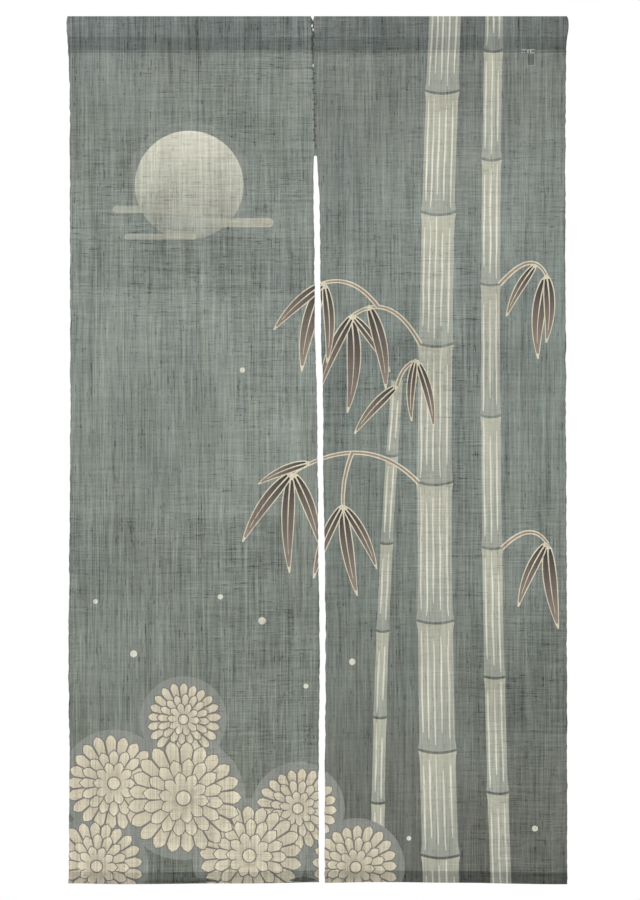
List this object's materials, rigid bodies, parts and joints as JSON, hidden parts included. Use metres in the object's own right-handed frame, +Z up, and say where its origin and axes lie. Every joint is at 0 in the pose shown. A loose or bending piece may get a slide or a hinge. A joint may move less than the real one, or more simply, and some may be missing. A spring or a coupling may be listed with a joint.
{
  "type": "noren curtain",
  "caption": "Split doorway curtain in widths of sheer hemp cloth, sewn edge to edge at the top, with an open sleeve for a rod and a turned-up hem.",
  "frame": {"origin": "middle of the top edge, halfway through the depth of the rod sleeve", "axes": "+X to the right of someone who faces the dyed side, +Y away from the dyed side, +Z up"},
  "size_m": [0.8672, 0.018, 1.501],
  "materials": {
    "hemp": "sheer, slubby hand-woven hemp, dyed grey",
    "hemp_doubled": "the same hemp in two and three layers",
    "woven_tape": "plain pale woven tape"
  },
  "bodies": {
    "root": {"panel_left": "hemp", "panel_right": "hemp", "sleeve_left": "hemp_doubled", "sleeve_right": "hemp_doubled", "name_label": "woven_tape", "care_label": "woven_tape"}
  },
  "joints": []
}
